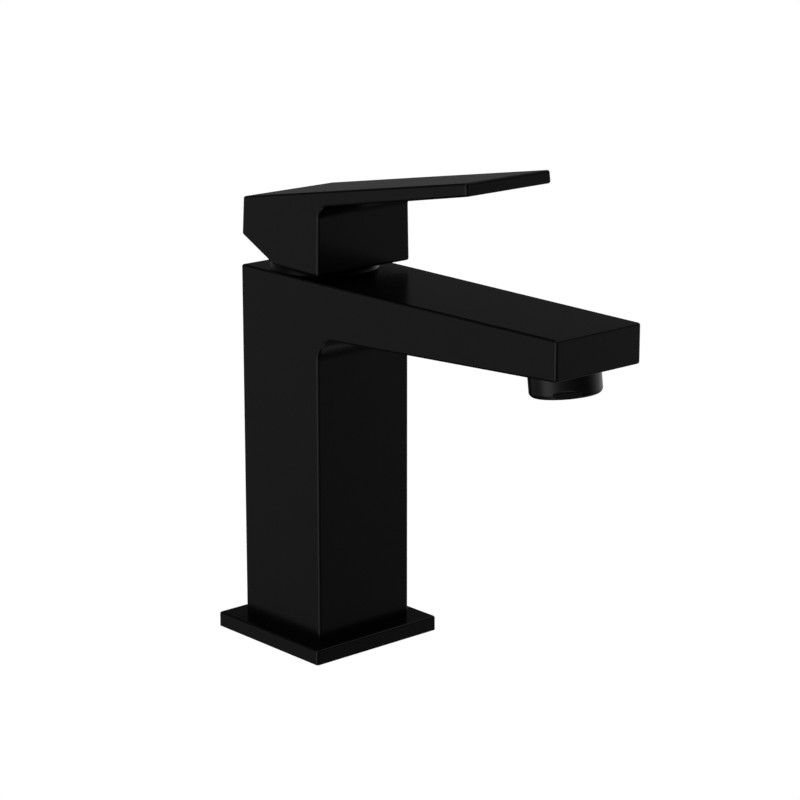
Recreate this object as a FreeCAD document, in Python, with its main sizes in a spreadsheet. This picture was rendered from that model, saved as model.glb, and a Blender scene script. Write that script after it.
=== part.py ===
"""Single-lever basin mixer with a square column, a straight spout and a flat lever.

Millimetres. +Z is up, -Y is towards the user, +X is to the right.
The origin is the mouth of the fixing stud's hole, in the plane of the deck.
"""
import FreeCAD, Part
import os
import re
import Sketcher
from FreeCAD import Placement, Rotation, Vector

# Driving dimensions: alias, value in millimetres or degrees, meaning.
DIMENSIONS = [
    ("plate_side", 55.0, "side of the square base plate"),
    ("plate_height", 5.3, "thickness of the base plate"),
    ("column_half", 20.5, "half the side of the column"),
    ("top_level", 132.65, "top of the body above the deck"),
    ("spout_reach", 132.3, "front of the spout from the column's axis"),
    ("spout_root", 113.25, "underside of the spout at the column"),
    ("spout_end", 119.3, "underside of the spout at its tip"),
    ("tip_half", 18.75, "half the width of the spout's tip"),
    ("throat_round", 8.7, "radius between column and spout"),
    ("edge_round", 0.85, "small radius on the outer edges"),
    ("spigot_round", 15.0, "radius of the body's foot"),
    ("seat_level", 96.0, "floor of the cartridge bore"),
    ("bore_round", 17.6, "radius of the cartridge bore"),
    ("thread_level", 120.0, "start of the nut's thread"),
    ("thread_round", 18.5, "radius of the nut's thread"),
    ("stud_round", 3.4, "radius of the fixing stud's thread"),
    ("stud_depth", 22.0, "depth of the fixing stud's thread"),
    ("inlet_round", 4.5, "radius of the supply hoses' threads"),
    ("inlet_depth", 14.0, "depth of the supply hoses' threads"),
    ("port_x", 8.2, "offset of the hot and cold ports from the middle"),
    ("port_y", 5.0, "how far forward the hot and cold ports are"),
    ("port_round", 2.6, "radius of the hot and cold ports"),
    ("outlet_y", 5.8, "how far back the mixed port is"),
    ("outlet_round", 3.0, "radius of the mixed port"),
    ("gasket_inner", 16.5, "inner radius of the base gasket"),
    ("gasket_outer", 24.5, "outer radius of the base gasket"),
    ("gasket_height", 1.6, "thickness of the base gasket"),
    ("pivot_level", 125.0, "height of the lever's pivot"),
    ("pin_round", 1.5, "radius of the pivot pin"),
    ("rest_lean", 12.5, "forward lean of the stem with the lever down"),
    ("arm_length", 10.0, "pivot to the stem's lower tip"),
    ("tip_round", 2.5, "radius of the stem's lower tip"),
    ("shank_side", 8.0, "side of the stem's square shank"),
    ("shank_top", 29.0, "pivot to the top of the shank"),
    ("disc_shift", 2.1, "how far back the moving disc is at rest"),
    ("housing_inner", 14.8, "inner radius of the cartridge housing"),
    ("housing_top", 121.5, "top of the cartridge housing"),
    ("neck_round", 11.3, "radius of the spindle guide's neck"),
    ("guide_base", 117.0, "underside of the spindle guide"),
    ("nut_inner", 12.4, "inner radius of the retaining nut"),
    ("nut_top", 127.5, "top of the retaining nut"),
    ("dome_round", 20.6, "radius of the dome ring about the pivot"),
    ("dome_wall", 1.2, "wall of the dome ring"),
    ("dome_top", 141.87, "rim of the hole in the dome ring"),
    ("dome_hole", 11.82, "radius of that hole"),
    ("block_half", 20.65, "half the width of the handle's block at its foot"),
    ("lever_half", 19.2, "half the width of the lever at its tip, at the block's foot level"),
    ("handle_draft", 1.1, "draft of the handle's sides in degrees"),
    ("cavity_round", 18.5, "radius of the handle's cavity"),
    ("cavity_top", 146.5, "roof of the handle's cavity"),
    ("lever_throat", 5.0, "radius between block and lever"),
    ("screw_level", 149.8, "height of the handle's set screw"),
    ("outlet_reach", 117.05, "the aerator's axis from the column's axis"),
    ("aerator_round", 11.8, "outer radius of the aerator housing"),
    ("aerator_foot", 109.75, "bottom of the aerator housing, before it leans"),
    ("aerator_seat", 118.4, "top of the aerator housing, before it leans"),
    ("outlet_lean", 7.5, "lean of the aerator, so that the water falls forward"),
    ("nipple_round", 10.5, "radius of the spout's threaded nipple"),
    ("nipple_foot", 113.6, "bottom of that nipple"),
    ("nipple_inner", 9.0, "inner radius of that nipple"),
    ("seat_gap", 0.25, "how far the aerator's seat stands out round its housing"),
    ("recess_depth", 3.0, "reach of the cutter that clears that seat"),
    ("spout_wall", 3.2, "wall of the spout above its waterway"),
    ("spout_floor", 2.6, "wall of the spout below its waterway, at the tip"),
    ("root_floor", 2.9, "wall of the spout below its waterway, at the column"),
    ("front_wall", 4.0, "wall of the spout's tip"),
    ("hollow_width", 28.0, "width of the waterway in the spout"),
    ("hollow_back", 20.8, "back of that waterway from the column's axis"),
    ("hollow_foot", 116.4, "lowest edge of that waterway at its back"),
    ("hollow_toe", 29.0, "front end of the slope from that edge"),
    ("entry_back", 12.0, "start of the way from the cartridge to the spout"),
    ("entry_front", 25.0, "end of that way at its top"),
    ("entry_toe", 22.3, "end of that way at its bottom"),
    ("entry_low", 112.8, "bottom of that way"),
    ("entry_high", 116.9, "top of that way"),
    ("entry_width", 16.0, "width of that way"),
    ("peg_x", 9.5, "offset of the cartridge's pegs from the middle"),
    ("peg_y", 8.0, "how far back the cartridge's pegs are"),
    ("peg_round", 1.45, "radius of the cartridge's pegs"),
    ("peg_length", 2.2, "length of the cartridge's pegs"),
    ("gasket_gap", 0.2, "clearance on each side of the base gasket"),
    ("foot_round", 17.2, "radius of the cartridge foot's flange"),
    ("foot_flange", 3.0, "thickness of that flange"),
    ("foot_height", 5.0, "height of the cartridge's foot"),
    ("seal_width", 1.5, "width of a port seal"),
    ("seal_height", 1.2, "thickness of a port seal"),
    ("window_half", 3.3, "half the width of the cartridge's outlet"),
    ("housing_outer", 16.2, "outer radius of the cartridge housing"),
    ("land_round", 17.5, "radius of the housing's lands above its waterway"),
    ("land_level", 117.2, "underside of the lower land"),
    ("groove_low", 118.2, "lower side of the housing's seal groove"),
    ("groove_high", 119.5, "upper side of the housing's seal groove"),
    ("groove_round", 16.3, "radius of that groove's bottom"),
    ("seal_round", 0.6, "radius of the housing seal's section"),
    ("disc_round", 14.0, "radius of the fixed disc"),
    ("sheet_round", 13.8, "radius of the disc gasket"),
    ("sheet_height", 0.8, "thickness of the disc gasket"),
    ("disc_height", 3.8, "thickness of the fixed disc"),
    ("mover_round", 11.2, "radius of the moving disc and its carrier"),
    ("mover_height", 3.75, "thickness of the moving disc"),
    ("chamber_round", 7.4, "radius of the moving disc's mixing chamber"),
    ("chamber_depth", 2.0, "depth of that chamber"),
    ("carrier_height", 7.0, "height of the disc carrier"),
    ("carrier_half", 8.0, "half the width of the carrier across its flats"),
    ("slot_floor", 2.5, "floor of the slot in the carrier"),
    ("slot_half", 3.3, "half the width of that slot"),
    ("slide_gap", 0.3, "clearance of the stem's tip in the slot"),
    ("guide_round", 14.4, "radius of the spindle guide's flange"),
    ("guide_flange", 1.9, "thickness of that flange"),
    ("guide_top", 131.0, "top of the spindle guide"),
    ("rail_gap", 0.25, "clearance between the guide's rails and the carrier"),
    ("rail_outer", 12.0, "outer side of the guide's rails"),
    ("rail_half", 5.0, "half the length of the guide's rails"),
    ("swing_half", 6.6, "half the length of the stem's way through the guide"),
    ("pin_length", 22.0, "length of the pivot pin"),
    ("boss_round", 4.5, "radius of the stem round the pin"),
    ("shank_foot", 3.0, "pivot to the foot of the shank"),
    ("arm_half", 2.9, "half the width of the stem's arm and tip"),
    ("arm_thick", 1.9, "half the thickness of the stem's arm"),
    ("limiter_low", 127.9, "underside of the limit ring"),
    ("limiter_top", 130.4, "top of the limit ring"),
    ("limiter_round", 14.8, "radius of the limit ring"),
    ("tooth_level", 129.2, "foot of the limit ring's teeth"),
    ("tooth_gap", 0.9, "radius of the gaps between those teeth"),
    ("slot_depth", 2.4, "depth of the nut's spanner slots"),
    ("spanner_half", 2.0, "half the width of the nut's spanner slots"),
    ("skirt_inner", 17.3, "inner radius of the dome ring's skirt"),
    ("skirt_foot", 128.4, "foot of the dome ring's skirt"),
    ("thread_gap", 0.1, "clearance of a screwed piece in its thread"),
    ("draft_level", 134.0, "level at which the handle's sides have their full width"),
    ("bend_y", 28.0, "where the handle starts to narrow, forward of the axis"),
    ("blank_front", 96.0, "front of the handle's blank"),
    ("blank_back", 25.0, "back of the handle's blank"),
    ("blank_height", 50.0, "height of the handle's blank"),
    ("back_top_y", 19.33, "back face of the handle at its top"),
    ("back_top", 156.5, "top of the handle's back face"),
    ("back_foot_y", 19.91, "back face of the handle at its foot"),
    ("back_foot", 143.3, "foot of the handle's back face"),
    ("heel_y", 2.88, "front end of the slope under the handle's back"),
    ("heel_level", 135.15, "level of that end"),
    ("toe_y", 21.0, "front of the handle's block at its foot, forward"),
    ("toe_level", 134.75, "foot of the block's front"),
    ("root_y", 20.95, "front of the block under the lever, forward"),
    ("root_level", 158.2, "underside of the lever at the block"),
    ("under_y", 91.7, "lower front edge of the lever, forward"),
    ("under_level", 171.5, "level of that edge"),
    ("front_y", 91.2, "upper front edge of the lever, forward"),
    ("front_level", 175.85, "level of that edge"),
    ("screw_start", 1.6, "front end of the set screw's thread, back from the axis"),
    ("screw_way", 2.55, "radius of that thread"),
    ("plug_start", 16.2, "floor of the plug's seat, back from the axis"),
    ("plug_way", 3.05, "radius of the plug's seat"),
    ("screw_round", 2.45, "radius of the set screw"),
    ("screw_length", 8.4, "length of the set screw"),
    ("key_half", 1.25, "half the width across flats of the set screw's socket"),
    ("key_depth", 2.6, "depth of that socket"),
    ("plug_round", 2.95, "radius of the plug"),
    ("plug_height", 3.3, "height of the plug at its crown"),
    ("mouth_round", 8.9, "inner radius of the housing's lower lip"),
    ("lip_height", 1.8, "height of that lip"),
    ("foot_curve", 1.65, "radius on the housing's lower edge"),
    ("grip_reach", 10.85, "aerator's axis to its wrench flats"),
    ("grip_height", 2.1, "height of the wrench flats"),
    ("grip_slope", 0.9, "rise of the shoulder over a wrench flat, per unit outwards"),
    ("insert_outer", 8.6, "outer radius of the aerator insert"),
    ("insert_inner", 7.6, "inner radius of the aerator insert"),
    ("insert_top", 118.4, "top of the aerator insert"),
    ("collar_round", 10.4, "radius of the insert's collar and the washer"),
    ("collar_height", 0.9, "thickness of the insert's collar"),
    ("jet_round", 7.55, "radius of the discs in the insert"),
    ("screen_foot", 118.45, "foot of the strainer's cone"),
    ("screen_round", 8.4, "radius of the strainer"),
    ("screen_crown", 120.95, "top of the strainer"),
    ("screen_wall", 0.35, "thickness of the strainer"),
    ("crown_round", 3.0, "radius of the flat top of the strainer"),
    ("jet_lift", 0.6, "housing's foot to the straightener's"),
    ("jet_height", 2.8, "thickness of the straightener"),
    ("jet_hole", 0.85, "radius of the straightener's holes"),
    ("regulator_low", 114.4, "underside of the flow regulator"),
    ("regulator_top", 116.4, "top of the flow regulator"),
    ("regulator_hole", 0.6, "radius of the regulator's holes"),
]

doc = FreeCAD.newDocument("BasinMixer")
sheet = doc.addObject("Spreadsheet::Sheet", "Sizes")
VALUES = {}
for row, (alias, value, meaning) in enumerate(DIMENSIONS, start=1):
    sheet.set("A%d" % row, meaning)
    sheet.set("B%d" % row, str(value))
    sheet.setAlias("B%d" % row, alias)
    VALUES[alias] = value
doc.recompute()

PARTS = []


def link(formula):
    """A formula in the sheet's aliases, as FreeCAD writes it for another object."""
    return re.sub(r"[a-z_]+", lambda word: "Sizes." + word.group() if word.group() in VALUES
                  else word.group(), str(formula))


def number(formula):
    """The same formula's present value."""
    return float(sheet.evalExpression(link(formula)))


def body_of(label, level=None, back=None, leans=False):
    """A new body; its Placement puts it at a height, at a distance back, or on the aerator's axis."""
    body = doc.addObject("PartDesign::Body", label)
    body.Label = label
    if leans:
        body.Placement = leaning()
    if level is not None:
        body.setExpression("Placement.Base.z", link(level))
    if back is not None:
        body.setExpression("Placement.Base.y", link(back))
    PARTS.append(body)
    return body


def leaning(level=0.0, turned_by=0.0):
    """A place on the aerator's axis, which leans about the middle of its seat."""
    angles = (Rotation(Vector(1, 0, 0), -VALUES["outlet_lean"]), Rotation(Vector(0, 0, 1), turned_by))
    tilt = Placement(Vector(0, -VALUES["outlet_reach"], 0), angles[0], Vector(0, 0, VALUES["aerator_seat"]))
    return tilt.multiply(Placement(Vector(0, 0, level), angles[1]))


def sketch_on(body, plane, offset=None):
    """A sketch on an origin plane, moved along the plane's normal by a formula."""
    sketch = body.newObject("Sketcher::SketchObject", body.Name + "Sketch")
    origin = [item for item in body.Origin.OriginFeatures if item.Role == plane + "_Plane"][0]
    sketch.AttachmentSupport = [(origin, "")]
    sketch.MapMode = "FlatFace"
    if offset is not None:
        sketch.setExpression("AttachmentOffset.Base.z", link(offset))
    return sketch


def hold(sketch, geometry, point, along, formula):
    """Ties one coordinate of a sketch point to a formula."""
    value = number(formula)
    if abs(value) < 1e-9:
        axis = -2 if along == "X" else -1
        sketch.addConstraint(Sketcher.Constraint("PointOnObject", geometry, point, axis))
        return
    index = sketch.addConstraint(Sketcher.Constraint("Distance" + along, -1, 1, geometry, point, value))
    sketch.setExpression("Constraints[%d]" % index, link(formula))


def outline(sketch, corners):
    """A closed outline of straight edges through corners given as pairs of formulas."""
    places = [Vector(number(across), number(up), 0) for across, up in corners]
    first = sketch.GeometryCount
    count = len(corners)
    for index in range(count):
        sketch.addGeometry(Part.LineSegment(places[index], places[(index + 1) % count]), False)
    for index in range(count):
        following = first + (index + 1) % count
        sketch.addConstraint(Sketcher.Constraint("Coincident", first + index, 2, following, 1))
    for index, (across, up) in enumerate(corners):
        hold(sketch, first + index, 1, "X", across)
        hold(sketch, first + index, 1, "Y", up)
    return first


def round_corner(sketch, line, radius):
    """Rounds the sketch corner at the end of a line with a tangent arc bound to a formula."""
    halves = [(sketch.getPoint(index, 1) + sketch.getPoint(index, 2)) * 0.5 for index in (line, line + 1)]
    sketch.fillet(line, line + 1, halves[0], halves[1], number(radius), True, True)
    arc = sketch.GeometryCount - 2
    bound = sketch.addConstraint(Sketcher.Constraint("Radius", arc, number(radius)))
    sketch.setExpression("Constraints[%d]" % bound, link(radius))


def circle(sketch, across, up, radius):
    """A circle whose centre and radius follow formulas."""
    centre = Vector(number(across), number(up), 0)
    index = sketch.addGeometry(Part.Circle(centre, Vector(0, 0, 1), number(radius)), False)
    hold(sketch, index, 3, "X", across)
    hold(sketch, index, 3, "Y", up)
    bound = sketch.addConstraint(Sketcher.Constraint("Radius", index, number(radius)))
    sketch.setExpression("Constraints[%d]" % bound, link(radius))


def box_outline(sketch, half_width, low, high):
    """A rectangle across the sketch's vertical axis."""
    outline(sketch, [("-(%s)" % half_width, low), (half_width, low), (half_width, high),
                     ("-(%s)" % half_width, high)])


def extrude(kind, body, sketch, length, back=False, both=False):
    """A Pad or a Pocket of a sketch, its length tied to a formula."""
    feature = body.newObject("PartDesign::" + kind, body.Name + kind)
    feature.Profile = sketch
    feature.setExpression("Length", link(length))
    feature.Reversed = back
    feature.Midplane = both
    sketch.Visibility = False
    return feature


def pad(body, sketch, length, back=False, both=False):
    """Adds a prism along the sketch's normal, or against it."""
    return extrude("Pad", body, sketch, length, back, both)


def cut_up(body, sketch, length):
    """Removes a prism above a level sketch."""
    return extrude("Pocket", body, sketch, length, back=True)


def cut_across(body, sketch, length):
    """Removes a prism on both sides of an upright sketch."""
    return extrude("Pocket", body, sketch, length, both=True)


def turn(kind, body, sketch):
    """A Revolution or a Groove about the body's own vertical axis."""
    feature = body.newObject("PartDesign::" + kind, body.Name + kind)
    feature.Profile = sketch
    feature.ReferenceAxis = (sketch, ["V_Axis"])
    feature.Angle = 360.0
    return feature


def turned(label, profile, level=None, back=None, leans=False):
    """A round piece from half of its section."""
    body = body_of(label, level, back, leans)
    section = sketch_on(body, "XZ")
    outline(section, profile)
    turn("Revolution", body, section)
    return body


def repeat(body, feature, count):
    """Repeats a feature evenly about the vertical axis."""
    pattern = body.newObject("PartDesign::PolarPattern", body.Name + "Pattern")
    pattern.Originals = [feature]
    axis = [item for item in body.Origin.OriginFeatures if item.Role == "Z_Axis"][0]
    pattern.Axis = (axis, [""])
    pattern.Angle = 360.0
    pattern.Occurrences = count
    body.Tip = pattern
    return pattern


def is_corner(shape, edge):
    """True where two faces meet at an angle, so not at a tangent or a slight bend."""
    middle = edge.valueAt((edge.FirstParameter + edge.LastParameter) / 2)
    normals = [face.normalAt(*face.Surface.parameter(middle))
               for face in shape.ancestorsOfType(edge, Part.Face)]
    return len(normals) == 2 and normals[0].getAngle(normals[1]) > 0.1


def soften(body, radius, wanted):
    """Rounds the tip's corner edges that a test picks out."""
    doc.recompute()
    tip = body.Tip
    names = ["Edge%d" % (index + 1) for index, edge in enumerate(tip.Shape.Edges)
             if is_corner(tip.Shape, edge) and wanted(edge)]
    fillet = body.newObject("PartDesign::Fillet", body.Name + "Fillet")
    fillet.Base = (tip, names)
    fillet.setExpression("Radius", link(radius))
    return fillet


def ring(label, inner, outer, low, high, leans=False):
    """A plain round ring or disc between two levels."""
    return turned(label, [(inner, low), (outer, low), (outer, high), (inner, high)], leans=leans)


def disc(label, radius, height, level, back=None):
    """A plain round disc on a level, at a distance back."""
    return turned(label, [("0", "0"), (radius, "0"), (radius, height), ("0", height)], level, back)


# --- body: column, spout, foot and waterways ------------------------------------------------
# One brass casting: the plan of column and spout is drawn up to the top level, and the
# space in front of the column and under the spout is taken away.
body = body_of("body")
plan = sketch_on(body, "XY", "plate_height")
outline(plan, [("-tip_half", "-spout_reach"), ("tip_half", "-spout_reach"),
               ("column_half", "-column_half"), ("column_half", "column_half"),
               ("-column_half", "column_half"), ("-column_half", "-column_half")])
pad(body, plan, "top_level - plate_height")

under = sketch_on(body, "YZ")
outline(under, [("-spout_reach - 10", "0"), ("-column_half", "0"), ("-column_half", "spout_root"),
                ("-spout_reach", "spout_end"), ("-spout_reach - 10", "spout_end")])
round_corner(under, 1, "throat_round")
cut_across(body, under, "4 * column_half")


def on_outside(edge):
    """True for the long outer edges of the casting, not those against the base plate."""
    box = edge.BoundBox
    return box.ZMax > VALUES["plate_height"] + 1.0


soften(body, "edge_round", on_outside)

foot = sketch_on(body, "XY")
circle(foot, "0", "0", "spigot_round")
pad(body, foot, "plate_height")

# Leaning seat for the aerator, raised at the back and sunk at the front, and its nipple.
seat = sketch_on(body, "XY")
seat.AttachmentOffset = leaning(VALUES["aerator_seat"])
circle(seat, "0", "0", "aerator_round + seat_gap")
pad(body, seat, "spout_end - aerator_seat + 1")
recess = sketch_on(body, "XY")
recess.AttachmentOffset = leaning(VALUES["aerator_seat"])
circle(recess, "0", "0", "aerator_round + seat_gap")
extrude("Pocket", body, recess, "recess_depth")
nipple = sketch_on(body, "XY")
nipple.AttachmentOffset = leaning(VALUES["nipple_foot"])
circle(nipple, "0", "0", "nipple_round")
pad(body, nipple, "spout_end - nipple_foot + 1")

# Cartridge bore and the nut's thread above it.
bore = sketch_on(body, "XZ")
outline(bore, [("0", "seat_level"), ("bore_round", "seat_level"), ("bore_round", "thread_level"),
               ("thread_round", "thread_level"), ("thread_round", "top_level + 1"),
               ("0", "top_level + 1")])
turn("Groove", body, bore)

# The way from the cartridge bore to the spout, then the hollow of the spout and its outlet.
entry = sketch_on(body, "YZ")
outline(entry, [("-entry_back", "entry_low"), ("-entry_back", "entry_high"), ("-entry_front", "entry_high"),
                ("-entry_toe", "entry_low")])
cut_across(body, entry, "entry_width")
hollow = sketch_on(body, "YZ")
outline(hollow, [("-hollow_back", "hollow_foot"), ("-hollow_back", "top_level - spout_wall"),
                 ("front_wall - spout_reach", "top_level - spout_wall"),
                 ("front_wall - spout_reach", "spout_end + spout_floor"),
                 ("-hollow_toe", "spout_root + root_floor")])
cut_across(body, hollow, "hollow_width")
outlet = sketch_on(body, "XY")
outlet.AttachmentOffset = leaning(VALUES["nipple_foot"] - 1)
circle(outlet, "0", "0", "nipple_inner")
cut_up(body, outlet, "spout_end + spout_floor - nipple_foot + 2")

# Stud thread in the middle of the foot, hot inlet on the left and cold inlet on the right,
# each with a drilled way up to the cartridge, and two holes for the cartridge's pegs.
stud = sketch_on(body, "XY")
circle(stud, "0", "0", "stud_round")
cut_up(body, stud, "stud_depth")
inlets = sketch_on(body, "XY")
risers = sketch_on(body, "XY")
pegs = sketch_on(body, "XY", "seat_level - peg_length - gasket_gap")
for side in ("-", ""):
    circle(inlets, side + "(port_x + 1)", "-port_y", "inlet_round")
    circle(risers, side + "port_x", "-port_y", "port_round")
    circle(pegs, side + "peg_x", "peg_y", "peg_round + 0.15")
cut_up(body, inlets, "inlet_depth")
cut_up(body, risers, "seat_level + 1")
cut_up(body, pegs, "2 * peg_length")

# --- base plate and its gasket --------------------------------------------------------------
plate = body_of("base_plate")
square = sketch_on(plate, "XY")
box_outline(square, "plate_side / 2", "-plate_side / 2", "plate_side / 2")
pad(plate, square, "plate_height")
soften(plate, "edge_round", lambda edge: edge.BoundBox.ZMax > 1.0)
opening = sketch_on(plate, "XY")
circle(opening, "0", "0", "spigot_round + gasket_gap")
cut_up(plate, opening, "plate_height + 1")
groove = sketch_on(plate, "XZ")
outline(groove, [("gasket_inner - gasket_gap", "-1"), ("gasket_outer + gasket_gap", "-1"),
                 ("gasket_outer + gasket_gap", "gasket_height"),
                 ("gasket_inner - gasket_gap", "gasket_height")])
turn("Groove", plate, groove)
ring("base_gasket", "gasket_inner", "gasket_outer", "0", "gasket_height")

# --- cartridge: foot with pegs, ports and the rear outlet -------------------------------------
base = turned("cartridge_base", [("0", "0"), ("foot_round", "0"), ("foot_round", "foot_flange"),
                                 ("housing_inner - 0.1", "foot_flange"),
                                 ("housing_inner - 0.1", "foot_height"), ("0", "foot_height")], "seat_level")
feet = sketch_on(base, "XY")
ports = sketch_on(base, "XY")
recesses = sketch_on(base, "XY")
for side in ("-", ""):
    circle(feet, side + "peg_x", "peg_y", "peg_round")
    circle(ports, side + "port_x", "-port_y", "port_round")
    circle(recesses, side + "port_x", "-port_y", "port_round + seal_width + gasket_gap")
pad(base, feet, "peg_length", back=True)
cut_up(base, ports, "foot_height + 1")
cut_up(base, recesses, "seal_height")
way_out = sketch_on(base, "XY", "2")
box_outline(way_out, "window_half", "outlet_y - window_half + 0.1", "foot_round + 1")
cut_up(base, way_out, "foot_height")

for name, side in (("hot_port_seal", "-"), ("cold_port_seal", "")):
    seal = body_of(name, "seat_level")
    rim = sketch_on(seal, "XY")
    circle(rim, side + "port_x", "-port_y", "port_round + seal_width + 0.1")
    circle(rim, side + "port_x", "-port_y", "port_round + 0.1")
    pad(seal, rim, "seal_height")

# --- cartridge: shell with its waterway, seal groove and rear window --------------------------
shell_foot = "seat_level + foot_flange"
shell_roof = "guide_base + 2"
housing = turned("cartridge_housing",
                 [("housing_inner", shell_foot), ("housing_outer", shell_foot),
                  ("housing_outer", "land_level"), ("land_round", "land_level"),
                  ("land_round", "groove_low"), ("groove_round", "groove_low"),
                  ("groove_round", "groove_high"), ("land_round", "groove_high"),
                  ("land_round", "housing_top"), ("neck_round + 0.09", "housing_top"),
                  ("neck_round + 0.09", shell_roof), ("housing_inner", shell_roof)])
window = sketch_on(housing, "XY", "seat_level + 2")
box_outline(window, "window_half", "entry_back", "foot_round + 1")
cut_up(housing, window, "2 * outlet_round - 2.6")

o_ring = doc.addObject("Part::Torus", "housing_seal")
o_ring.setExpression("Radius1", link("bore_round - seal_round - 0.07"))
o_ring.setExpression("Radius2", link("seal_round"))
o_ring.setExpression("Placement.Base.z", link("(groove_low + groove_high) / 2"))
PARTS.append(o_ring)

# --- cartridge: gasket, the two ceramic discs and the carrier ---------------------------------
sheet_foot = "seat_level + foot_height"
disc_foot = sheet_foot + " + sheet_height"
for name, low, height, radius in (("disc_gasket", sheet_foot, "sheet_height", "sheet_round"),
                                  ("fixed_disc", disc_foot, "disc_height", "disc_round")):
    ported = disc(name, radius, height, low)
    holes = sketch_on(ported, "XY", "-1")
    for side in ("-", ""):
        circle(holes, side + "port_x", "-port_y", "port_round")
    circle(holes, "0", "outlet_y", "outlet_round")
    cut_up(ported, holes, height + " + 2")

mover_foot = disc_foot + " + disc_height + 0.05"
mover = disc("moving_disc", "mover_round", "mover_height", mover_foot, "disc_shift")
chamber = sketch_on(mover, "XY", "-1")
circle(chamber, "0", "0", "chamber_round")
cut_up(mover, chamber, "chamber_depth + 1")

carrier = disc("disc_carrier", "mover_round", "carrier_height", mover_foot + " + mover_height", "disc_shift")
flats = sketch_on(carrier, "XY", "-1")
for side in ("-", ""):
    beyond = side + "(mover_round + 1)"
    outline(flats, [(side + "carrier_half", "-mover_round - 1"), (beyond, "-mover_round - 1"),
                    (beyond, "mover_round + 1"), (side + "carrier_half", "mover_round + 1")])
cut_up(carrier, flats, "carrier_height + 2")
slot = sketch_on(carrier, "XY", "slot_floor")
box_outline(slot, "slot_half", "-(tip_round + slide_gap)", "tip_round + slide_gap")
cut_up(carrier, slot, "carrier_height")

# --- cartridge: spindle guide that turns in the shell, with rails for the carrier -------------
collar = "guide_base + guide_flange"
guide = turned("spindle_guide",
               [("0", "guide_base"), ("guide_round", "guide_base"), ("guide_round", collar),
                ("neck_round", collar), ("neck_round", "guide_top"), ("0", "guide_top")])
rails = sketch_on(guide, "XY", "guide_base")
for side in ("-", ""):
    outline(rails, [(side + "(carrier_half + rail_gap)", "-rail_half"), (side + "rail_outer", "-rail_half"),
                    (side + "rail_outer", "rail_half"), (side + "(carrier_half + rail_gap)", "rail_half")])
pad(guide, rails, "guide_base - (%s) - mover_height - 0.5" % mover_foot, back=True)
swing = sketch_on(guide, "XY", "guide_base - 1")
box_outline(swing, "shank_side / 2 + 0.2", "-swing_half", "swing_half")
cut_up(guide, swing, "guide_top - guide_base + 2")
pin_hole = sketch_on(guide, "YZ")
circle(pin_hole, "0", "pivot_level", "pin_round + 0.02")
cut_across(guide, pin_hole, "2 * pin_length")

pin = body_of("pivot_pin", "pivot_level")
pin_end = sketch_on(pin, "YZ")
circle(pin_end, "0", "0", "pin_round")
pad(pin, pin_end, "pin_length", both=True)

# Stem, straight in its own frame with the pivot at its origin, leaning forward at rest.
stem = body_of("stem")
shank = sketch_on(stem, "XY", "shank_foot")
box_outline(shank, "shank_side / 2", "-shank_side / 2", "shank_side / 2")
pad(stem, shank, "shank_top - shank_foot")
for radius, drop, width in (("boss_round", "0", "shank_side"), ("tip_round", "-arm_length", "2 * arm_half")):
    boss = sketch_on(stem, "YZ")
    circle(boss, "0", drop, radius)
    pad(stem, boss, width, both=True)
arm = sketch_on(stem, "XY")
box_outline(arm, "arm_half", "-arm_thick", "arm_thick")
pad(stem, arm, "arm_length", back=True)
eye = sketch_on(stem, "YZ")
circle(eye, "0", "0", "pin_round + 0.05")
cut_across(stem, eye, "2 * shank_side")
stem.Placement = Placement(Vector(0, 0, VALUES["pivot_level"]),
                           Rotation(Vector(1, 0, 0), VALUES["rest_lean"]))
stem.setExpression("Placement.Base.z", link("pivot_level"))
stem.setExpression("Placement.Rotation.Angle", link("rest_lean"))

# Toothed ring that sets how far the lever may turn to hot.
TEETH = 24
limiter = ring("temperature_limit_ring", "neck_round + 0.03", "limiter_round", "limiter_low", "limiter_top")
tooth = sketch_on(limiter, "XY", "tooth_level")
circle(tooth, "limiter_round", "0", "tooth_gap")
teeth = cut_up(limiter, tooth, "limiter_top - tooth_level + 1")
repeat(limiter, teeth, TEETH)

# Retaining nut with four spanner slots.
SPANNER_SLOTS = 4
nut = ring("retaining_nut", "nut_inner", "thread_round - thread_gap", "housing_top", "nut_top")
spanner = sketch_on(nut, "XY", "nut_top - slot_depth")
outline(spanner, [("nut_inner - 2", "-spanner_half"), ("thread_round + 1", "-spanner_half"),
                  ("thread_round + 1", "spanner_half"), ("nut_inner - 2", "spanner_half")])
spanner_slot = cut_up(nut, spanner, "slot_depth + 1")
repeat(nut, spanner_slot, SPANNER_SLOTS)

# --- dome ring: a spherical cap about the pivot, on a threaded skirt --------------------------
dome = body_of("dome_ring")
cap = sketch_on(dome, "XZ")
centre = Vector(0, number("pivot_level"), 0)


def on_sphere(radius, level):
    """Half the width of a sphere about the pivot, at a level."""
    return "sqrt((%s)^2 - (%s - pivot_level)^2)" % (radius, level)


inner_sphere = "dome_round - dome_wall"
rim_lower = "dome_top - 1"
skirt_outer = "thread_round - thread_gap"
corners = [("skirt_inner", "skirt_foot"), (skirt_outer, "skirt_foot"), (skirt_outer, "top_level"),
           (on_sphere("dome_round", "top_level"), "top_level"), ("dome_hole", "dome_top"),
           (on_sphere(inner_sphere, rim_lower), rim_lower),
           ("skirt_inner", "pivot_level + sqrt((%s)^2 - skirt_inner^2)" % inner_sphere)]
places = [Vector(number(across), number(up), 0) for across, up in corners]
ROUND_EDGES = {3: "dome_round", 5: inner_sphere}
for index in range(len(places)):
    start = places[index]
    end = places[(index + 1) % len(places)]
    if index in ROUND_EDGES:
        middle = (start + end) * 0.5 - centre
        middle.normalize()
        edge = Part.Arc(start, centre + middle * number(ROUND_EDGES[index]), end)
    else:
        edge = Part.LineSegment(start, end)
    cap.addGeometry(edge, False)
cap.addConstraint(Sketcher.Constraint("Block", 0))
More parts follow.
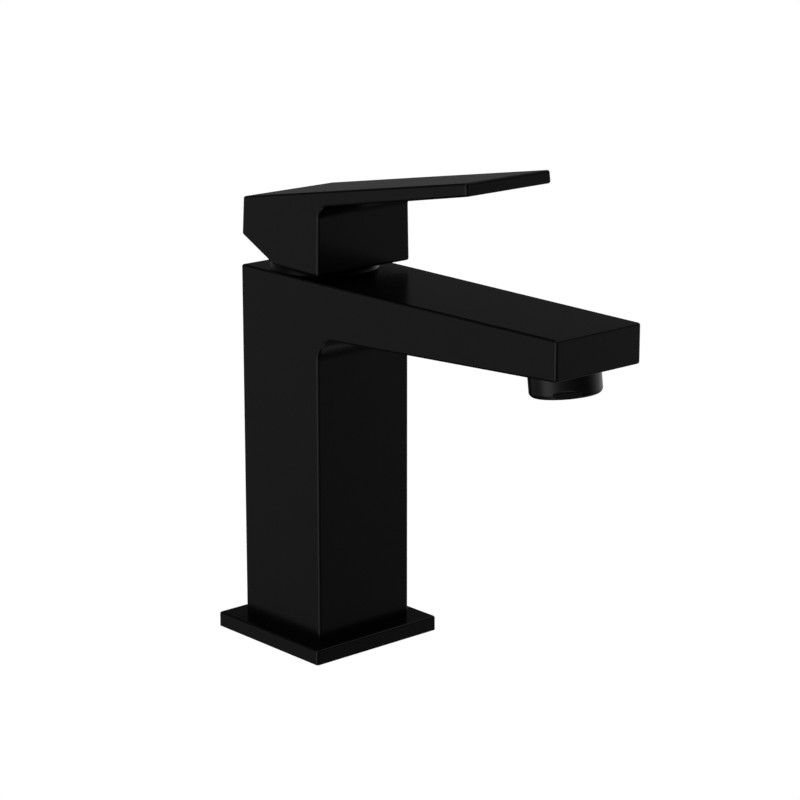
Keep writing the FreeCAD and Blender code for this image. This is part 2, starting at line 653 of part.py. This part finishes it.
turn("Revolution", dome, cap)

# --- handle: block and lever, one casting -----------------------------------------------------
handle = body_of("handle")
shape_plan = sketch_on(handle, "XY", "draft_level")
outline(shape_plan, [("-block_half", "-bend_y"), ("-lever_half", "-blank_front"),
                     ("lever_half", "-blank_front"), ("block_half", "-bend_y"),
                     ("block_half", "blank_back"), ("-block_half", "blank_back")])
blank = pad(handle, shape_plan, "blank_height")
doc.recompute()
foot_plane = handle.newObject("PartDesign::Plane", "HandleFoot")
foot_plane.AttachmentSupport = shape_plan.AttachmentSupport
foot_plane.MapMode = "FlatFace"
foot_plane.setExpression("AttachmentOffset.Base.z", link("draft_level"))
sides = ["Face%d" % (index + 1) for index, face in enumerate(blank.Shape.Faces)
         if abs(face.normalAt(0, 0).x) > 0.9]
draft = handle.newObject("PartDesign::Draft", "HandleDraft")
draft.Base = (blank, sides)
draft.NeutralPlane = (foot_plane, [""])
draft.setExpression("Angle", link("handle_draft"))

# What is left of the blank's side view after all round it is cut away.
side = sketch_on(handle, "YZ")
outline(side, [("-blank_front - 20", "draft_level - 14"), ("blank_back + 15", "draft_level - 14"),
               ("blank_back + 15", "draft_level + blank_height + 6"),
               ("-blank_front - 20", "draft_level + blank_height + 6")])
start = outline(side, [("back_top_y", "back_top"), ("back_foot_y", "back_foot"), ("heel_y", "heel_level"),
                       ("-toe_y", "toe_level"), ("-root_y", "root_level"), ("-under_y", "under_level"),
                       ("-front_y", "front_level")])
round_corner(side, start + 3, "lever_throat")
cut_across(handle, side, "6 * block_half")
soften(handle, "edge_round", lambda edge: True)

# Hollow over the dome ring, socket for the stem, thread of the set screw and seat of its plug.
cavity = sketch_on(handle, "XY", "draft_level - 4")
circle(cavity, "0", "0", "cavity_round")
cut_up(handle, cavity, "cavity_top - draft_level + 4")
socket = sketch_on(handle, "XY")
socket.AttachmentOffset = Placement(Vector(0, 0, VALUES["pivot_level"]),
                                    Rotation(Vector(1, 0, 0), VALUES["rest_lean"]))
box_outline(socket, "shank_side / 2 + 0.05", "-(shank_side / 2 + 0.05)", "shank_side / 2 + 0.05")
cut_up(handle, socket, "shank_top + 0.5")
screw_hole = sketch_on(handle, "XZ", "screw_start")
circle(screw_hole, "0", "screw_level", "screw_way")
extrude("Pocket", handle, screw_hole, "blank_back")
plug_seat = sketch_on(handle, "XZ", "-plug_start")
circle(plug_seat, "0", "screw_level", "plug_way")
extrude("Pocket", handle, plug_seat, "blank_back - plug_start")

screw = turned("handle_screw", [("0", "0"), ("1", "0"), ("screw_round", "1.2"),
                                ("screw_round", "screw_length"), ("0", "screw_length")])
key = sketch_on(screw, "XY", "screw_length - key_depth")
hexagon = [("key_half / cos(30) * cos(%d)" % turn_angle, "key_half / cos(30) * sin(%d)" % turn_angle)
           for turn_angle in range(0, 360, 60)]
outline(key, hexagon)
cut_up(screw, key, "key_depth + 1")
plug = turned("screw_plug", [("0", "0"), ("plug_round", "0"), ("plug_round", "plug_height - 0.4"),
                             ("plug_round - 0.35", "plug_height - 0.1"), ("0", "plug_height")])
for piece, back in ((screw, -1.05), (plug, VALUES["plug_start"] + 0.05)):
    piece.Placement = Placement(Vector(0, back, VALUES["screw_level"]), Rotation(Vector(1, 0, 0), -90))

# --- aerator: screwed housing with wrench flats, and what it holds ----------------------------
GRIP_TURN = -131.6
lip = "aerator_foot + lip_height"
collar_top = lip + " + collar_height"
shell = turned("aerator_housing",
               [("mouth_round", "aerator_foot"), ("aerator_round", "aerator_foot"),
                ("aerator_round", "aerator_seat"), ("nipple_round + thread_gap", "aerator_seat"),
                ("nipple_round + thread_gap", lip), ("mouth_round", lip)])
soften(shell, "foot_curve", lambda edge: edge.BoundBox.ZMax < VALUES["aerator_foot"] + 0.2
       and edge.BoundBox.XMax > VALUES["mouth_round"] + 1)
grip = sketch_on(shell, "XZ")
outline(grip, [("grip_reach", "aerator_foot - 1"), ("aerator_round + 2", "aerator_foot - 1"),
               ("aerator_round + 2",
                "aerator_foot + grip_height + grip_slope * (aerator_round + 2 - grip_reach)"),
               ("grip_reach", "aerator_foot + grip_height")])
flat = cut_across(shell, grip, "2 * aerator_round")
repeat(shell, flat, 2)
shell.Placement = leaning(0.0, GRIP_TURN)

turned("aerator_insert",
       [("insert_inner", "aerator_foot + 0.4"), ("insert_outer", "aerator_foot + 0.4"), ("insert_outer", lip),
        ("collar_round", lip), ("collar_round", collar_top), ("insert_outer", collar_top),
        ("insert_outer", "insert_top"), ("insert_inner", "insert_top")], leans=True)
ring("aerator_washer", "mouth_round", "collar_round", collar_top, "nipple_foot", leans=True)

STRAIGHTENER_HOLES = ((2.2, 6), (4.3, 12), (6.3, 18))
REGULATOR_HOLES = ((4.4, 8),)
jet_foot = "aerator_foot + jet_lift"
for name, low, high, hole, rings in (
        ("flow_straightener", jet_foot, jet_foot + " + jet_height", "jet_hole", STRAIGHTENER_HOLES),
        ("flow_regulator", "regulator_low", "regulator_top", "regulator_hole", REGULATOR_HOLES)):
    drilled = ring(name, "0", "jet_round", low, high, leans=True)
    for radius, count in rings:
        drill = sketch_on(drilled, "XY", low + " - 1")
        circle(drill, radius, "0", hole)
        repeat(drilled, cut_up(drilled, drill, "jet_height + 3"), count)

turned("aerator_screen", [("0", "screen_crown - screen_wall"), ("crown_round", "screen_crown - screen_wall"),
                          ("screen_round", "screen_foot"), ("screen_round", "screen_foot + screen_wall"),
                          ("crown_round + 0.1", "screen_crown"), ("0", "screen_crown")], leans=True)

# --- check every object, then write one STEP file per piece -------------------------------------
doc.recompute()
for item in doc.Objects:
    if "Invalid" in item.State or "Error" in item.State:
        raise RuntimeError("%s failed: %s" % (item.Name, item.State))
os.makedirs("parts", exist_ok=True)
for piece in PARTS:
    shape = piece.Shape
    if shape.isNull() or not shape.isValid() or not shape.Solids:
        raise RuntimeError("%s has no valid solid" % piece.Label)
    shape.exportStep("parts/%s.step" % piece.Label)
    print("%-24s %10.1f mm3  %d solid" % (piece.Label, shape.Volume, len(shape.Solids)))
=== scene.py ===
import math
import bpy
import numpy as np
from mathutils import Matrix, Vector


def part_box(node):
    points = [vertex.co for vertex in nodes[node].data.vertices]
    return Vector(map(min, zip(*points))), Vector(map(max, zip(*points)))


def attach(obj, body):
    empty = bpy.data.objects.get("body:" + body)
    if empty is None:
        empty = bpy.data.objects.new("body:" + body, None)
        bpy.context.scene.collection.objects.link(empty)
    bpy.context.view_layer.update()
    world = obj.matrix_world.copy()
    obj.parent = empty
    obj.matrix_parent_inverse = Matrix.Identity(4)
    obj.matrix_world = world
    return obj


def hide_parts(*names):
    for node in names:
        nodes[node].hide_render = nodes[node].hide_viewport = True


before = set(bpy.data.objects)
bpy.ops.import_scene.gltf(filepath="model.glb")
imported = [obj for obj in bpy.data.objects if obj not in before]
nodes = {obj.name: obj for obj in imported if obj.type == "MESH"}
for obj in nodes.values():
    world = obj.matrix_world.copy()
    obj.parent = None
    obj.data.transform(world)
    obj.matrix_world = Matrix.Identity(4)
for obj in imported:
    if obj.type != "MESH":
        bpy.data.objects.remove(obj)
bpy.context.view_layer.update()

# Studio camera. A long lens stands in front and to the left of the mixer, a little above
# the spout, so that uprights stay almost parallel and the lever is seen from below the tip.
AZIMUTH = math.radians(-41.58)
ELEVATION = math.radians(14.98)
LENS = 119.38
SENSOR_WIDTH = 36.0
DISTANCE = 0.9340
ASIDE = 0.02604
ABOVE = 0.01947
AIM_HEIGHT = 0.06417

camera_back = Vector((math.sin(AZIMUTH) * math.cos(ELEVATION),
                      -math.cos(AZIMUTH) * math.cos(ELEVATION), math.sin(ELEVATION)))
camera_right = Vector((math.cos(AZIMUTH), math.sin(AZIMUTH), 0.0))
camera_up = camera_back.cross(camera_right)
camera = bpy.data.objects.new("camera", bpy.data.cameras.new("camera"))
camera.data.lens = LENS
camera.data.sensor_width = SENSOR_WIDTH
camera.location = (Vector((0.0, 0.0, AIM_HEIGHT)) + camera_right * ASIDE + camera_up * ABOVE
                   + camera_back * DISTANCE)
camera.rotation_euler = (math.pi / 2 - ELEVATION, 0.0, AZIMUTH)
bpy.context.scene.collection.objects.link(camera)
bpy.context.scene.camera = camera
bpy.context.scene.view_settings.view_transform = "Standard"

# Studio. A white floor and a white surround that only the lens sees, round a dim room with a
# tall soft light on the left, another on the right and a small one straight overhead.
ROOM = 6.0
ROOM_STEPS = 64
DOME_STEPS = 33
FLOOR_LEVEL = -0.0002
FLOOR_EYE = 0.0001
FLOOR_RINGS = 3
WHITE = 1.02


def shader_tree(name):
    """A new material's name, node tree and Principled shader."""
    material = bpy.data.materials.new(name)
    material.use_nodes = True
    tree = material.node_tree
    return material, tree, tree.nodes["Principled BSDF"]


def node(tree, kind, inputs=None, **settings):
    """Adds a shader node, sets its properties and its sockets; a socket value links."""
    made = tree.nodes.new(kind)
    for key, value in settings.items():
        setattr(made, key, value)
    for key, value in (inputs or {}).items():
        if isinstance(value, bpy.types.NodeSocket):
            tree.links.new(value, made.inputs[key])
        else:
            made.inputs[key].default_value = value
    return made


def surface(name, points, closed_u=False, closed_v=False):
    """A mesh over one or more grids of points (grids, rows, columns, xyz), joined where they close.

    The corners of a face are the points (u, v), (u, v + 1), (u + 1, v + 1) and (u + 1, v).
    """
    rows, columns = points.shape[-3:-1]
    grids = points.reshape(-1, rows * columns, 3)
    row = np.arange(rows if closed_u else rows - 1)[:, None]
    column = np.arange(columns if closed_v else columns - 1)[None, :]
    next_row = (row + 1) % rows
    next_column = (column + 1) % columns
    quads = np.stack([row * columns + column, row * columns + next_column,
                      next_row * columns + next_column, next_row * columns + column], axis=-1)
    quads = quads.reshape(1, -1, 4) + (np.arange(len(grids)) * rows * columns)[:, None, None]
    mesh = bpy.data.meshes.new(name)
    mesh.from_pydata(grids.reshape(-1, 3).tolist(), [], quads.reshape(-1, 4).tolist())
    mesh.update()
    made = bpy.data.objects.new(name, mesh)
    bpy.context.scene.collection.objects.link(made)
    return made


def glow(name, strength, see_through):
    """A plain white light-giving material; a see-through one is clear from its back."""
    material, tree, shader = shader_tree(name)
    shader.inputs["Base Color"].default_value = (0.0, 0.0, 0.0, 1.0)
    shader.inputs["Specular IOR Level"].default_value = 0.0
    shader.inputs["Emission Color"].default_value = (1.0, 1.0, 1.0, 1.0)
    shader.inputs["Emission Strength"].default_value = strength
    if see_through:
        clear = node(tree, "ShaderNodeBsdfTransparent").outputs["BSDF"]
        back = node(tree, "ShaderNodeNewGeometry").outputs["Backfacing"]
        mixed = node(tree, "ShaderNodeMixShader", {0: back, 1: shader.outputs["BSDF"], 2: clear})
        tree.links.new(mixed.outputs["Shader"], tree.nodes["Material Output"].inputs["Surface"])
    return material


# The surround is a sphere, radius ROOM; the floor is a flat disc of the same radius.
turn_grid, height_grid = np.meshgrid(np.linspace(0, 2 * np.pi, ROOM_STEPS, endpoint=False),
                                     np.linspace(-np.pi / 2, np.pi / 2, DOME_STEPS), indexing="ij")
surround = surface("surround", ROOM * np.stack([np.cos(turn_grid) * np.cos(height_grid),
                                                np.sin(turn_grid) * np.cos(height_grid),
                                                np.sin(height_grid)], axis=-1), closed_u=True)
ring_grid, radius_grid = np.meshgrid(np.linspace(0, 2 * np.pi, ROOM_STEPS, endpoint=False),
                                     np.linspace(FLOOR_EYE, ROOM, FLOOR_RINGS), indexing="ij")
floor = surface("floor", np.stack([radius_grid * np.cos(ring_grid), radius_grid * np.sin(ring_grid),
                                   FLOOR_LEVEL + 0.0 * ring_grid], axis=-1), closed_u=True)
for backdrop in (surround, floor):
    backdrop.data.materials.append(glow(backdrop.name, WHITE, see_through=backdrop is floor))
    backdrop.visible_diffuse = False
    backdrop.visible_glossy = False
    backdrop.visible_transmission = False
    backdrop.visible_shadow = False

# Brightness of the room by compass angle in degrees (0 in front, plus to the right), times
# brightness by height (-1 straight down, 0 level, 1 straight up).
ROUND_LEVELS = [(-180, 0.13), (-165, 0.145), (-150, 0.170), (-136, 0.172), (-122, 0.34),
                (-110, 0.85), (-90, 0.85), (-76, 0.42), (-62, 0.25), (-40, 0.13), (-10, 0.075),
                (15, 0.06), (33, 0.078), (41, 0.12), (50, 0.205), (62, 0.36), (76, 0.52),
                (104, 0.68), (118, 0.40), (132, 0.12), (150, 0.10), (165, 0.115), (180, 0.13)]
RISE_LEVELS = [(-1.0, 0.8), (-0.9, 0.6), (-0.78, 0.25), (-0.5, 0.2), (-0.4, 0.45), (-0.32, 0.78),
               (-0.2, 0.99), (0.0, 1.0), (0.1, 0.75), (0.2, 0.42), (0.32, 0.25), (0.5, 0.25),
               (0.75, 0.35), (0.9, 0.9), (1.0, 1.2)]


def level_ramp(tree, value, levels):
    """A grey ramp over a value; levels pair the value, from lowest to highest, with greys."""
    low, high = levels[0][0], levels[-1][0]
    share = node(tree, "ShaderNodeMapRange", {"Value": value, "From Min": low, "From Max": high})
    ramp = node(tree, "ShaderNodeValToRGB", {"Fac": share.outputs["Result"]})
    while len(ramp.color_ramp.elements) < len(levels):
        ramp.color_ramp.elements.new(0.5)
    for stop, (place, level) in zip(ramp.color_ramp.elements, levels):
        stop.position = (place - low) / (high - low)
        stop.color = (level, level, level, 1.0)
    return ramp.outputs["Color"]


def maths(tree, operation, first, second=0.0):
    """One arithmetic node."""
    return node(tree, "ShaderNodeMath", {0: first, 1: second}, operation=operation).outputs["Value"]


world = bpy.data.worlds.new("studio")
world.use_nodes = True
bpy.context.scene.world = world
sky = world.node_tree
direction = node(sky, "ShaderNodeTexCoord").outputs["Generated"]
parts = node(sky, "ShaderNodeSeparateXYZ", {"Vector": direction}).outputs
compass = maths(sky, "ARCTAN2", parts["X"], maths(sky, "MULTIPLY", parts["Y"], -1.0))
round_light = level_ramp(sky, maths(sky, "DEGREES", compass), ROUND_LEVELS)
room_light = node(sky, "ShaderNodeVectorMath", {0: round_light, 1: level_ramp(sky, parts["Z"], RISE_LEVELS)},
                  operation="MULTIPLY").outputs["Vector"]
sky.links.new(room_light, sky.nodes["Background"].inputs["Color"])

# Base gasket. A soft black rubber ring with four round ribs on the side that the deck squeezes,
# pressed into the groove under the base plate.
GASKET_INNER = 0.0165
RIBS = 4
RIB_DEPTH = 0.00022
RIB_POINTS = 65
RING_STEPS = 128
SHARP_ANGLE = math.radians(40.0)
CLOUD_STOPS = (0.3, 0.7)
CLOUD_DETAIL = 3.0
GRAIN_DETAIL = 2.0
GRAIN_PER_CLOUD = 9.0
GRAIN_STRENGTH = 0.25


def mottle(tree, scale, dark, light):
    """Soft noise over a piece and a colour that it carries from dark to light."""
    place = node(tree, "ShaderNodeTexCoord").outputs["Object"]
    cloud = node(tree, "ShaderNodeTexNoise", {"Vector": place, "Scale": scale, "Detail": CLOUD_DETAIL})
    ramp = node(tree, "ShaderNodeValToRGB", {"Fac": cloud.outputs["Fac"]})
    for stop, place_on_ramp, colour in zip(ramp.color_ramp.elements, CLOUD_STOPS, (dark, light)):
        stop.position = place_on_ramp
        stop.color = (*colour, 1.0)
    return cloud.outputs["Fac"], ramp.outputs["Color"]


def between(tree, value, low, high):
    """A number that runs from low to high as the value runs from 0 to 1."""
    spread = node(tree, "ShaderNodeMapRange", {"Value": value, "To Min": low, "To Max": high})
    return spread.outputs["Result"]


def relief(tree, shader, height, strength, depth):
    """Raises a shader's surface by a height, depth in metres."""
    bump = node(tree, "ShaderNodeBump", {"Height": height, "Strength": strength, "Distance": depth})
    tree.links.new(bump.outputs["Normal"], shader.inputs["Normal"])


def grain(tree, scale):
    """Fine noise over a piece."""
    place = node(tree, "ShaderNodeTexCoord").outputs["Object"]
    noise = node(tree, "ShaderNodeTexNoise", {"Vector": place, "Scale": scale, "Detail": GRAIN_DETAIL})
    return noise.outputs["Fac"]


def clouded(name, dark, light, smooth, rough, clouds):
    """A new material: close colours in soft clouds, with roughness from smooth to rough."""
    material, tree, shader = shader_tree(name)
    cloud, colour = mottle(tree, clouds, dark, light)
    tree.links.new(colour, shader.inputs["Base Color"])
    tree.links.new(between(tree, cloud, smooth, rough), shader.inputs["Roughness"])
    return material, tree, shader


def moulded(name, dark, light, smooth, rough, clouds=420.0, depth=0.00006):
    """A moulded finish: soft clouds with the fine grain of the mould's face."""
    material, tree, shader = clouded(name, dark, light, smooth, rough, clouds)
    relief(tree, shader, grain(tree, GRAIN_PER_CLOUD * clouds), GRAIN_STRENGTH, depth)
    return material


def spun(name, profile):
    """A ring: the closed profile of (radius, height) points, taken anticlockwise, turned about Z."""
    turn = np.linspace(0.0, 2.0 * np.pi, RING_STEPS, endpoint=False)[None, :]
    radius, height = profile[:, :1], profile[:, 1:]
    points = np.stack([radius * np.cos(turn), radius * np.sin(turn), height + 0.0 * turn], axis=-1)
    made = surface(name, points, closed_u=True, closed_v=True)
    made.data.polygons.foreach_set("use_smooth", [True] * len(made.data.polygons))
    made.data.set_sharp_from_angle(angle=SHARP_ANGLE)
    return made


def finish_nodes(material, *names):
    """Gives carried-over pieces their material."""
    for name in names:
        slots = nodes[name].data.materials
        slots.clear()
        slots.append(material)


# The ribbed face is RIB_DEPTH (1 + cos(2 pi RIBS share)) / 2 above the underside, with share
# from 0 at the inner edge to 1 at the outer edge.
seal_rubber = moulded("seal_rubber", dark=(0.012, 0.012, 0.013), light=(0.022, 0.022, 0.023),
                      smooth=0.58, rough=0.76)
gasket_low, gasket_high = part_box("base_gasket")
across = np.linspace(GASKET_INNER, gasket_high[0], RIB_POINTS)
share = (across - across[0]) / (across[-1] - across[0])
ribbed = 0.5 * RIB_DEPTH * (1.0 + np.cos(2.0 * np.pi * RIBS * share)) + gasket_low[2]
profile = np.concatenate([np.stack([across, ribbed], axis=1),
                          [[gasket_high[0], gasket_high[2]], [GASKET_INNER, gasket_high[2]]]])
ribbed_gasket = spun("ribbed_gasket", profile)
ribbed_gasket.data.materials.append(seal_rubber)
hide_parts("base_gasket")
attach(ribbed_gasket, "fixed")

# Base plate. A thin square brass plate under the column, softened edges, in the same satin
# black as the castings: sprayed and baked, a dark soft mirror with a faint orange peel.
COAT_DARK = (0.0021, 0.0021, 0.0022)
COAT_LIGHT = (0.0034, 0.0034, 0.0035)
COAT_SMOOTH = 0.225
COAT_ROUGH = 0.275
COAT_CLOUDS = 45.0
PEEL_SCALE = 1400.0
PEEL_STRENGTH = 0.03
PEEL_DEPTH = 0.0001


def black_coating(name):
    """Near-black film; roughness drifts a little and fine noise gives the orange peel."""
    material, tree, shader = clouded(name, COAT_DARK, COAT_LIGHT, COAT_SMOOTH, COAT_ROUGH, COAT_CLOUDS)
    relief(tree, shader, grain(tree, PEEL_SCALE), PEEL_STRENGTH, PEEL_DEPTH)
    return material


coating = black_coating("black_coating")
finish_nodes(coating, "base_plate")

# Body. One brass casting, column and spout together, in the satin black coating. Its foot, the
# tapped holes in the foot and the cartridge bore are machined afterwards and stay bare brass.
FOOT_LEVEL = 0.0003
HOLES_TOP = 0.0225
STUD_HOLE = ((0.0, 0.0, 0.0), 0.00345)
HOSE_HOLES = [((0.0092, -0.005, 0.0), 0.00455), ((-0.0092, -0.005, 0.0), 0.00455)]
BORE_AXIS = (0.0, 0.0, 0.0)
BORE_RADIUS = 0.0187
BORE_FOOT = 0.0955
BORE_TOP = 0.1318
THREAD_PITCH = 0.00125
THREAD_STRENGTH = 0.25
THREAD_DEPTH = 0.001
PEEL_PER_THREAD = 0.012
BRASS_DARK = (0.58, 0.36, 0.13)
BRASS_LIGHT = (0.74, 0.50, 0.21)
BRASS_CLOUDS = 900.0
BRASS_ROUGHER = 0.08


def flattened(tree, place):
    """A place brought down to the level of the deck."""
    return node(tree, "ShaderNodeVectorMath", {0: place, 1: (1.0, 1.0, 0.0)},
                operation="MULTIPLY").outputs["Vector"]


def height_of(tree, place):
    """A place's height above the deck."""
    return node(tree, "ShaderNodeSeparateXYZ", {"Vector": place}).outputs["Z"]


def coated_casting(name):
    """The coating, with bare machined brass in the foot, its tapped holes and the cartridge bore.

    The bare part is (z < foot) or (z < holes' top and near one of their axes) or (near the
    column's axis and between the ends of the bore); thread marks are sin(2 pi z / pitch).
    """
    material, tree, shader = shader_tree(name)
    place = node(tree, "ShaderNodeTexCoord").outputs["Object"]
    height = height_of(tree, place)
    level = flattened(tree, place)

    def near(axis, radius):
        away = node(tree, "ShaderNodeVectorMath", {0: level, 1: axis}, operation="DISTANCE")
        return maths(tree, "LESS_THAN", away.outputs["Value"], radius)

    holes = near(*STUD_HOLE)
    for axis, radius in HOSE_HOLES:
        holes = maths(tree, "MAXIMUM", holes, near(axis, radius))
    holes = maths(tree, "MULTIPLY", holes, maths(tree, "LESS_THAN", height, HOLES_TOP))
    bore = maths(tree, "MULTIPLY", maths(tree, "GREATER_THAN", height, BORE_FOOT),
                 maths(tree, "LESS_THAN", height, BORE_TOP))
    bore = maths(tree, "MULTIPLY", bore, near(BORE_AXIS, BORE_RADIUS))
    foot = maths(tree, "LESS_THAN", height, FOOT_LEVEL)
    bare = maths(tree, "MAXIMUM", foot, maths(tree, "MAXIMUM", holes, bore))

    cloud, black = mottle(tree, COAT_CLOUDS, COAT_DARK, COAT_LIGHT)
    brass = mottle(tree, BRASS_CLOUDS, BRASS_DARK, BRASS_LIGHT)[1]
    colour = node(tree, "ShaderNodeMix", {"Factor": bare}, data_type="RGBA")
    tree.links.new(black, colour.inputs[6])
    tree.links.new(brass, colour.inputs[7])
    tree.links.new(colour.outputs[2], shader.inputs["Base Color"])
    tree.links.new(bare, shader.inputs["Metallic"])
    satin = between(tree, cloud, COAT_SMOOTH, COAT_ROUGH)
    satin = maths(tree, "ADD", satin, maths(tree, "MULTIPLY", bare, BRASS_ROUGHER))
    tree.links.new(satin, shader.inputs["Roughness"])
    thread = maths(tree, "SINE", maths(tree, "MULTIPLY", height, 2.0 * math.pi / THREAD_PITCH))
    peel = maths(tree, "MULTIPLY", grain(tree, PEEL_SCALE), PEEL_PER_THREAD)
    relief(tree, shader, maths(tree, "ADD", peel, maths(tree, "MULTIPLY", thread, holes)),
           THREAD_STRENGTH, THREAD_DEPTH)
    return material


finish_nodes(coated_casting("coated_casting"), "body")

# Aerator. A coated brass housing with two wrench flats, screwed on the spout's nipple over a
# rubber washer; inside are a pale plastic insert, a steel strainer, a regulator and a honeycomb.
CELL = 0.00152
WALL = 0.00013
HONEYCOMB_RADIUS = 0.0075
HONEYCOMB_FOOT = 0.11035
HONEYCOMB_TOP = 0.11315
CELLS_EACH_WAY = 8
LEAN = math.radians(7.5)
AERATOR_AXIS = -0.11705
AERATOR_SEAT = 0.1184
WIRE_PITCH = 0.0003
WIRE_STRENGTH = 0.6
WIRE_DEPTH = 0.0001
SCATTER = 0.15
SCATTER_REACH = (0.001, 0.001, 0.001)


def woven_steel(name):
    """Stainless mesh: crossing wires as the higher of sin(x) and sin(y), a wire pitch apart."""
    material, tree, shader = clouded(name, dark=(0.46, 0.46, 0.47), light=(0.62, 0.62, 0.63),
                                     smooth=0.26, rough=0.38, clouds=700.0)
    shader.inputs["Metallic"].default_value = 1.0
    place = node(tree, "ShaderNodeTexCoord").outputs["Object"]
    axes = node(tree, "ShaderNodeSeparateXYZ", {"Vector": place}).outputs
    wires = [maths(tree, "SINE", maths(tree, "MULTIPLY", axes[axis], 2.0 * math.pi / WIRE_PITCH))
             for axis in "XY"]
    relief(tree, shader, maths(tree, "MAXIMUM", *wires), WIRE_STRENGTH, WIRE_DEPTH)
    return material


jet_plastic = moulded("jet_plastic", dark=(0.52, 0.54, 0.56), light=(0.60, 0.62, 0.64),
                      smooth=0.34, rough=0.46)
jet_shader = jet_plastic.node_tree.nodes["Principled BSDF"]
jet_shader.inputs["Subsurface Weight"].default_value = SCATTER
jet_shader.inputs["Subsurface Radius"].default_value = SCATTER_REACH
finish_nodes(jet_plastic, "aerator_insert", "flow_straightener", "flow_regulator")
finish_nodes(woven_steel("woven_steel"), "aerator_screen")
finish_nodes(seal_rubber, "aerator_washer")
finish_nodes(coating, "aerator_housing")

# Honeycomb of hexagonal tubes: centres on a triangular lattice of pitch CELL, each tube a
# closed ring of four corners of its wall taken round six corners of a hexagon. All of it then
# leans with the aerator, by LEAN about the line across the spout at the seat.
steps = np.arange(-CELLS_EACH_WAY, CELLS_EACH_WAY + 1)
column_index, row_index = np.meshgrid(steps, steps, indexing="ij")
outer_corner = CELL / math.sqrt(3.0)
inner_corner = outer_corner - WALL / math.cos(math.pi / 6.0)
centres = np.stack([CELL * (column_index + 0.5 * row_index),
                    CELL * math.sqrt(0.75) * row_index], axis=-1).reshape(-1, 2)
centres = centres[np.hypot(centres[:, 0], centres[:, 1]) < HONEYCOMB_RADIUS - outer_corner]
corner_turn = (np.pi / 3.0 * np.arange(6) + np.pi / 6.0)[None, None, :]
wall_radius = np.array([outer_corner, outer_corner, inner_corner, inner_corner])[None, :, None]
wall_height = np.array([HONEYCOMB_FOOT, HONEYCOMB_TOP, HONEYCOMB_TOP, HONEYCOMB_FOOT])[None, :, None]
east = centres[:, 0][:, None, None] + wall_radius * np.cos(corner_turn)
north = centres[:, 1][:, None, None] + wall_radius * np.sin(corner_turn)
up = wall_height - AERATOR_SEAT + 0.0 * east
leaning_points = np.stack([east, AERATOR_AXIS + north * math.cos(LEAN) + up * math.sin(LEAN),
                           AERATOR_SEAT + up * math.cos(LEAN) - north * math.sin(LEAN)], axis=-1)
honeycomb = surface("honeycomb", leaning_points, closed_u=True, closed_v=True)
honeycomb.data.materials.append(jet_plastic)
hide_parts("flow_straightener")
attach(honeycomb, "fixed")

# Cartridge foot and shell. Ivory glass-filled plastic, moulded, with black rubber seals round
# the ports, round the shell and under the discs.
cartridge_plastic = moulded("cartridge_plastic", dark=(0.66, 0.64, 0.57), light=(0.74, 0.72, 0.65),
                            smooth=0.36, rough=0.50)
finish_nodes(cartridge_plastic, "cartridge_base", "cartridge_housing")
finish_nodes(seal_rubber, "hot_port_seal", "cold_port_seal", "housing_seal", "disc_gasket")

# Ceramic discs. White alumina, pressed and sintered, then lapped flat until the two faces seal
# against each other.
lapped_ceramic = moulded("lapped_ceramic", dark=(0.76, 0.75, 0.70), light=(0.83, 0.82, 0.78),
                         smooth=0.10, rough=0.20, clouds=1500.0, depth=0.00001)
finish_nodes(lapped_ceramic, "fixed_disc", "moving_disc")

# Carrier, spindle guide and limit ring. Grey filled plastic for what slides and turns, and red
# plastic for the toothed ring that limits the heat.
guide_plastic = moulded("guide_plastic", dark=(0.075, 0.085, 0.10), light=(0.11, 0.122, 0.14),
                        smooth=0.38, rough=0.52, clouds=600.0)
limit_plastic = moulded("limit_plastic", dark=(0.38, 0.012, 0.010), light=(0.46, 0.020, 0.016),
                        smooth=0.34, rough=0.46)
finish_nodes(guide_plastic, "disc_carrier", "spindle_guide")
finish_nodes(limit_plastic, "temperature_limit_ring")

# Pivot pin, stem, nut and set screw. Turned steel and brass, with the fine rings that the tool
# leaves.
METAL_CLOUDS = 500.0
MARK_STRENGTH = 0.12
MARK_DEPTH = 0.00005


def turned_metal(name, dark, light, smooth, rough, pitch):
    """Machined metal; tool marks are sin(2 pi (r + z) / pitch), r from the column's axis."""
    material, tree, shader = clouded(name, dark, light, smooth, rough, METAL_CLOUDS)
    shader.inputs["Metallic"].default_value = 1.0
    place = node(tree, "ShaderNodeTexCoord").outputs["Object"]
    radius = node(tree, "ShaderNodeVectorMath", {0: flattened(tree, place)}, operation="LENGTH")
    along = maths(tree, "ADD", radius.outputs["Value"], height_of(tree, place))
    marks = maths(tree, "SINE", maths(tree, "MULTIPLY", along, 2.0 * math.pi / pitch))
    relief(tree, shader, marks, MARK_STRENGTH, MARK_DEPTH)
    return material


turned_brass = turned_metal("turned_brass", BRASS_DARK, BRASS_LIGHT, smooth=0.20, rough=0.32, pitch=0.0002)
turned_steel = turned_metal("turned_steel", dark=(0.50, 0.50, 0.51), light=(0.64, 0.64, 0.65),
                            smooth=0.16, rough=0.28, pitch=0.00015)
finish_nodes(turned_steel, "pivot_pin", "handle_screw")
finish_nodes(turned_brass, "stem", "retaining_nut")

# Dome ring, handle and plug. The ring is turned brass and the handle a zinc casting, both in
# the satin black coating; a small black plastic plug covers the set screw at the back.
plug_plastic = moulded("plug_plastic", dark=(0.0035, 0.0035, 0.0037), light=(0.0052, 0.0052, 0.0055),
                       smooth=0.34, rough=0.42)
finish_nodes(coating, "dome_ring", "handle")
finish_nodes(plug_plastic, "screw_plug")
